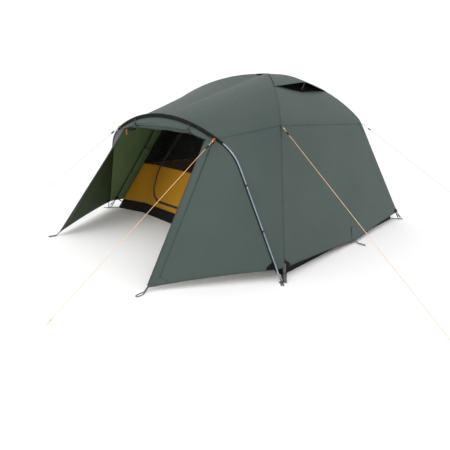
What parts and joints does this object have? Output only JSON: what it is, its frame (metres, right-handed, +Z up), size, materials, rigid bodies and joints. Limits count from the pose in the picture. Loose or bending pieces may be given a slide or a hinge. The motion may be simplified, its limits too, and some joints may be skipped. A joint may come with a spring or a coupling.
{
  "type": "dome tent with porch",
  "caption": "Family dome tent with crossing main poles, an arched front porch, a hooded roof vent and a hung mesh inner tent with a zipped door.",
  "frame": {"origin": "on the ground under the pole crossing, at the underside of the inner floor", "axes": "+Z up, -Y toward the porch, +X toward the side with the roof vent"},
  "size_m": [3.4112, 3.735, 1.4154],
  "materials": {
    "pole_alloy": "satin",
    "hard_plastic": "matte",
    "elastic": "matte",
    "fly_fabric": "satin",
    "sleeve_fabric": "matte",
    "webbing": "matte",
    "eyelet_metal": "satin",
    "zip_tape": "matte",
    "bathtub_fabric": "satin",
    "inner_fabric": "satin",
    "mesh": "matte",
    "guy_cord": "matte"
  },
  "bodies": {
    "tent": {"arch_clips": "hard_plastic", "arch_pole_segments": "pole_alloy", "arch_sleeve": "sleeve_fabric", "fly_corner_buckles": "hard_plastic", "fly_corner_straps": "webbing", "fly_crown_patch": "fly_fabric", "fly_door_roll": "sleeve_fabric", "fly_door_zips": "zip_tape", "fly_porch_panel_left": "fly_fabric", "fly_porch_panel_right": "fly_fabric", "fly_porch_wall_left": "fly_fabric", "fly_porch_wall_right": "fly_fabric", "fly_rear_wall": "fly_fabric", "fly_roof_front": "fly_fabric", "fly_roof_left": "fly_fabric", "fly_roof_rear": "fly_fabric", "fly_roof_right": "fly_fabric", "fly_side_wall_left": "fly_fabric", "fly_side_wall_right": "fly_fabric", "ground_eyelets": "eyelet_metal", "ground_straps": "webbing", "guy_line_arch_left": "guy_cord", "guy_line_arch_right": "guy_cord", "guy_line_side_front": "guy_cord", "guy_line_side_rear": "guy_cord", "guy_loops": "webbing", "inner_bathtub_wall": "bathtub_fabric", "inner_crown_patch": "inner_fabric", "inner_door_piping": "inner_fabric", "inner_floor": "bathtub_fabric", "inner_hook_straps": "webbing", "inner_hooks": "hard_plastic", "inner_lower_wall": "inner_fabric", "inner_mesh_wall": "mesh", "inner_roof": "mesh", "inner_zip_wall": "zip_tape", "main_pole_a_segments": "pole_alloy", "main_pole_b_segments": "pole_alloy", "peg_rings": "webbing", "pole_inserts": "pole_alloy", "pole_shock_cords": "elastic", "pole_tips": "hard_plastic", "toggle_loops": "elastic", "vent_hood": "fly_fabric", "vent_mesh": "mesh", "vent_strut_hinge": "hard_plastic"},
    "vent_strut_body": {"vent_strut": "hard_plastic"},
    "fly_slider_right_body": {"fly_zip_slider_right": "eyelet_metal"},
    "fly_slider_left_body": {"fly_zip_slider_left": "eyelet_metal"},
    "inner_door_body": {"inner_door_lower": "inner_fabric", "inner_door_mesh": "mesh", "inner_zip_door": "zip_tape"},
    "inner_side_slider_body": {"inner_zip_slider_side": "eyelet_metal"},
    "inner_sill_slider_body": {"inner_zip_slider_sill": "eyelet_metal"},
    "toggle_right_body": {"toggle_right": "hard_plastic"},
    "toggle_left_body": {"toggle_left": "hard_plastic"},
    "tensioner_arch_right_body": {"tensioner_arch_right": "hard_plastic"},
    "tensioner_arch_left_body": {"tensioner_arch_left": "hard_plastic"},
    "tensioner_side_front_body": {"tensioner_side_front": "hard_plastic"},
    "tensioner_side_rear_body": {"tensioner_side_rear": "hard_plastic"}
  },
  "joints": [
    {"name": "vent_strut_fold", "type": "hinge", "parent": "tent", "child": "vent_strut_body", "pos_m": [0.44003, 0, 1.25947], "axis": [0.9473, 0, -0.3204], "range_deg": [0, 80], "deforming": ["vent_hood"]},
    {"name": "inner_door", "type": "hinge", "parent": "tent", "child": "inner_door_body", "pos_m": [0.466, -0.92615, 0.00014], "axis": [0, 0.2847, 0.9586], "range_deg": [0, 20]},
    {"name": "fly_slider_right", "type": "slide", "parent": "tent", "child": "fly_slider_right_body", "axis": [0.1278, -0.5651, -0.8151], "range_m": [0, 0.98]},
    {"name": "fly_slider_left", "type": "slide", "parent": "tent", "child": "fly_slider_left_body", "axis": [-0.1278, -0.5651, -0.8151], "range_m": [0, 0.98]},
    {"name": "inner_side_slider", "type": "slide", "parent": "tent", "child": "inner_side_slider_body", "axis": [0.493, 0.2477, 0.834], "range_m": [0, 0.2]},
    {"name": "inner_sill_slider", "type": "slide", "parent": "tent", "child": "inner_sill_slider_body", "axis": [1, 0, 0], "range_m": [0, 0.78]},
    {"name": "toggle_turn_right", "type": "hinge", "parent": "tent", "child": "toggle_right_body", "pos_m": [0.34, -1.25547, 0.9388], "axis": [0, -0.9925, -0.1219], "range_deg": [-90, 90]},
    {"name": "toggle_turn_left", "type": "hinge", "parent": "tent", "child": "toggle_left_body", "pos_m": [-0.34, -1.25547, 0.9388], "axis": [0, -0.9925, -0.1219], "range_deg": [-90, 90]},
    {"name": "tension_arch_right", "type": "slide", "parent": "tent", "child": "tensioner_arch_right_body", "axis": [0.0041, -0.7991, -0.6012], "range_m": [0, 0.25]},
    {"name": "tension_arch_left", "type": "slide", "parent": "tent", "child": "tensioner_arch_left_body", "axis": [-0.122, -0.7894, -0.6016], "range_m": [0, 0.25]},
    {"name": "tension_side_front", "type": "slide", "parent": "tent", "child": "tensioner_side_front_body", "axis": [0.8069, -0.1926, -0.5584], "range_m": [0, 0.25]},
    {"name": "tension_side_rear", "type": "slide", "parent": "tent", "child": "tensioner_side_rear_body", "axis": [0.7589, 0.3443, -0.5527], "range_m": [0, 0.25]}
  ]
}
